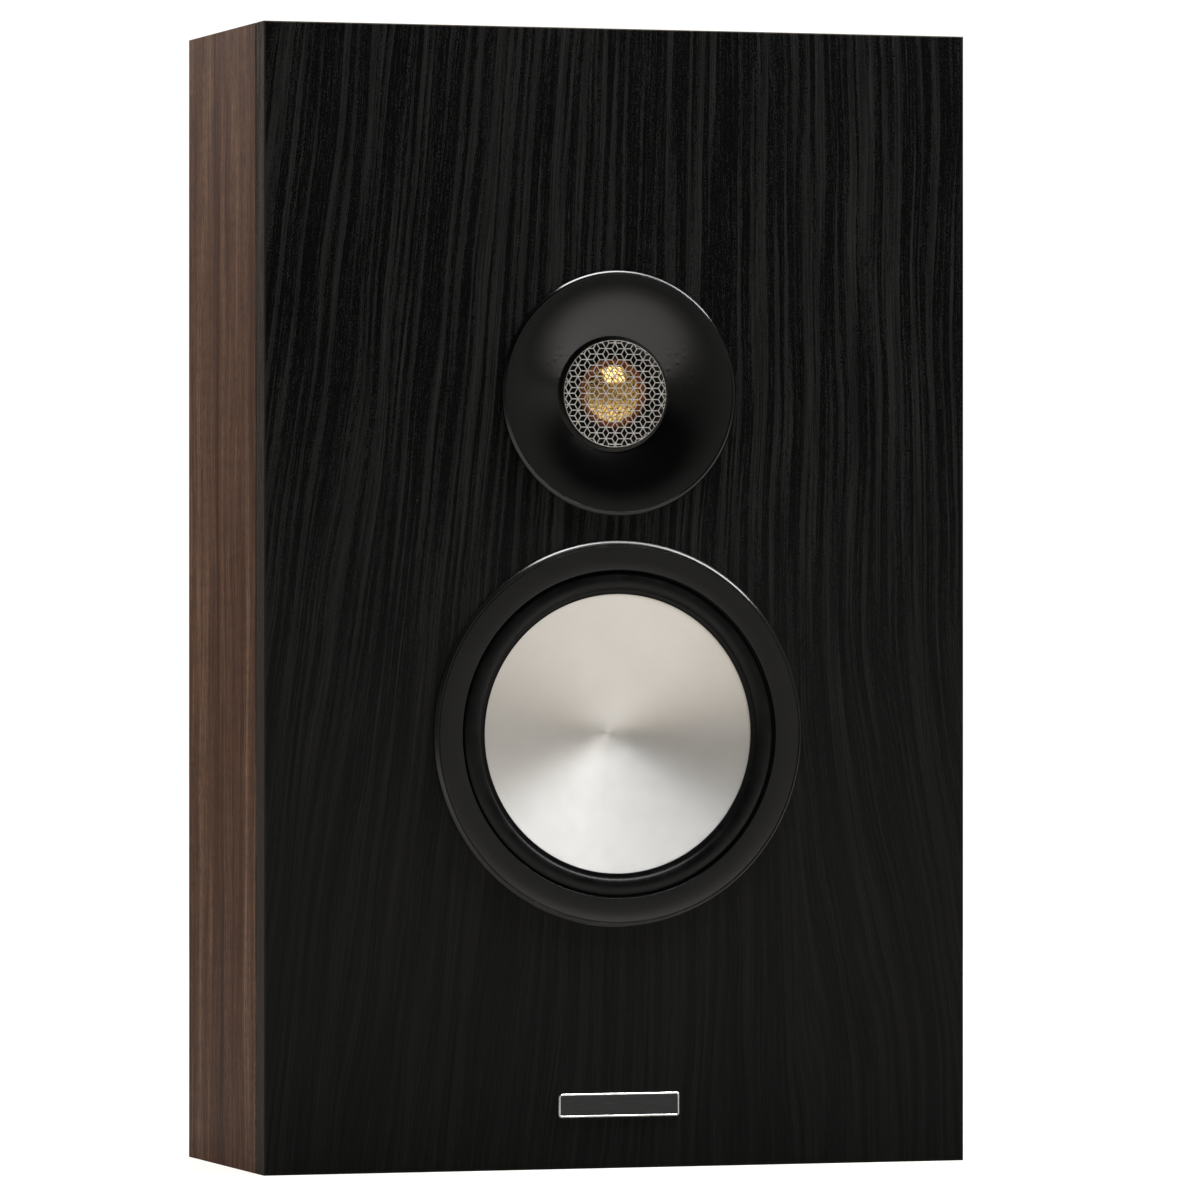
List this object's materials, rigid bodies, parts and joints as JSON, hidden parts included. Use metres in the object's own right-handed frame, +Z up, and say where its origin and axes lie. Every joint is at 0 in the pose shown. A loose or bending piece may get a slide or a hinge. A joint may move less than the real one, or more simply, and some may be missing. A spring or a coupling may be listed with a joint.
{
  "type": "bookshelf loudspeaker",
  "caption": "Shallow two-way bookshelf loudspeaker: dome tweeter in a waveguide over a dished metal woofer, walnut-sided cabinet, rear binding posts and keyhole hangers.",
  "frame": {"origin": "centre of the whole part's bounding box, at the height of the cabinet's base, where it stands on a shelf", "axes": "+Z up, -Y out of the baffle towards the listener, +X to the right as seen from in front"},
  "size_m": [0.29, 0.121, 0.45],
  "materials": {
    "black_oak": "satin black-stained oak veneer with an open vertical grain",
    "walnut": "satin dark walnut veneer, vertical grain",
    "black_panel": "matt black lacquered board",
    "raw_board": "unfinished fibreboard",
    "foam": "open-cell foam",
    "badge_metal": "dark brushed badge with a bright edge, blank",
    "satin_black_metal": "satin black",
    "black_rubber": "matt black",
    "cone_metal": "satin, pale warm silver",
    "former_film": "amber film",
    "copper_wire": "enamelled copper wire",
    "copper_braid": "bare copper braid",
    "spider_cloth": "impregnated cloth",
    "cast_black": "black powder coat",
    "zinc_steel": "zinc plated",
    "ferrite": "bare dark ferrite",
    "phenolic": "phenolic board",
    "grille_steel": "satin silver grey",
    "gold_dome": "bright gold-coloured metal",
    "copper_rubber": "translucent copper brown",
    "former_aluminium": "plain",
    "black_plastic": "fine moulded texture",
    "gasket_foam": "closed-cell foam",
    "black_steel": "black oxide",
    "brass_plate": "tinned brass",
    "circuit_board": "green solder mask",
    "white_nylon": "natural nylon",
    "bobbin_plastic": "moulded",
    "capacitor_film": "yellow wrap",
    "resistor_ceramic": "bare ceramic",
    "red_wire": "PVC sleeve",
    "black_wire": "PVC sleeve",
    "white_wire": "PVC sleeve",
    "gold_plate": "gold plated",
    "red_plastic": "moulded",
    "black_cap_plastic": "moulded",
    "plated_steel": "nickel plated"
  },
  "bodies": {
    "cabinet": {"front_baffle": "black_oak", "rear_panel": "black_panel", "side_panel_left": "walnut", "side_panel_right": "walnut", "top_panel": "walnut", "bottom_panel": "walnut", "internal_brace": "raw_board", "acoustic_foam": "foam", "name_badge": "badge_metal", "woofer_trim_ring": "satin_black_metal", "woofer_surround": "black_rubber", "woofer_spider": "spider_cloth", "woofer_basket": "cast_black", "woofer_top_plate": "zinc_steel", "woofer_magnet": "ferrite", "woofer_yoke": "zinc_steel", "woofer_terminal_board": "phenolic", "woofer_lead_wires": "copper_braid", "tweeter_waveguide": "satin_black_metal", "tweeter_grille": "grille_steel", "tweeter_surround": "copper_rubber", "tweeter_chassis": "black_plastic", "tweeter_top_plate": "zinc_steel", "tweeter_magnet": "ferrite", "tweeter_yoke": "zinc_steel", "tweeter_rear_chamber": "black_plastic", "woofer_gasket": "gasket_foam", "tweeter_gasket": "gasket_foam", "woofer_screws": "black_steel", "tweeter_screws": "black_steel", "terminal_tags": "brass_plate", "crossover_board": "circuit_board", "crossover_standoffs": "white_nylon", "crossover_screws": "zinc_steel", "inductor_bobbins": "bobbin_plastic", "inductor_windings": "copper_wire", "inductor_core": "ferrite", "film_capacitors": "capacitor_film", "power_resistors": "resistor_ceramic", "input_wires": "red_wire", "woofer_wires": "black_wire", "tweeter_wires": "white_wire", "terminal_cup": "black_plastic", "terminal_gasket": "gasket_foam", "binding_posts": "gold_plate", "post_insulators": "black_plastic", "post_nuts": "gold_plate", "keyhole_plates": "plated_steel", "rear_panel_screws": "black_steel", "wall_bumpers": "black_rubber"},
    "woofer_diaphragm": {"woofer_cone": "cone_metal", "woofer_coil_former": "former_film", "woofer_voice_coil": "copper_wire"},
    "tweeter_diaphragm": {"tweeter_dome": "gold_dome", "tweeter_coil_former": "former_aluminium", "tweeter_voice_coil": "copper_wire"},
    "red_washer": {"red_clamp_washer": "gold_plate"},
    "red_cap": {"red_binding_cap": "red_plastic"},
    "black_washer": {"black_clamp_washer": "gold_plate"},
    "black_cap": {"black_binding_cap": "black_cap_plastic"}
  },
  "joints": [
    {"name": "woofer_excursion", "type": "slide", "parent": "cabinet", "child": "woofer_diaphragm", "axis": [0, -1, 0], "range_m": [-0.004, 0.004], "stiffness_N_per_m": 1000, "deforming": ["woofer_surround", "woofer_spider", "woofer_lead_wires"]},
    {"name": "tweeter_excursion", "type": "slide", "parent": "cabinet", "child": "tweeter_diaphragm", "axis": [0, -1, 0], "range_m": [-0.0005, 0.0005], "stiffness_N_per_m": 200, "deforming": ["tweeter_surround"]},
    {"name": "red_clamp_travel", "type": "slide", "parent": "cabinet", "child": "red_washer", "axis": [0, 1, 0], "range_m": [0, 0.006]},
    {"name": "red_cap_turn", "type": "hinge", "parent": "red_washer", "child": "red_cap", "pos_m": [-0.00953, 0.0425, 0.062], "axis": [0, 1, 0], "range_deg": [0, 2160]},
    {"name": "black_clamp_travel", "type": "slide", "parent": "cabinet", "child": "black_washer", "axis": [0, 1, 0], "range_m": [0, 0.006]},
    {"name": "black_cap_turn", "type": "hinge", "parent": "black_washer", "child": "black_cap", "pos_m": [0.00953, 0.0425, 0.062], "axis": [0, 1, 0], "range_deg": [0, 2160]}
  ],
  "couplings": [
    {"joint": "red_cap_turn", "follows": "red_clamp_travel", "rad_per_m": 6283},
    {"joint": "black_cap_turn", "follows": "black_clamp_travel", "rad_per_m": 6283}
  ]
}
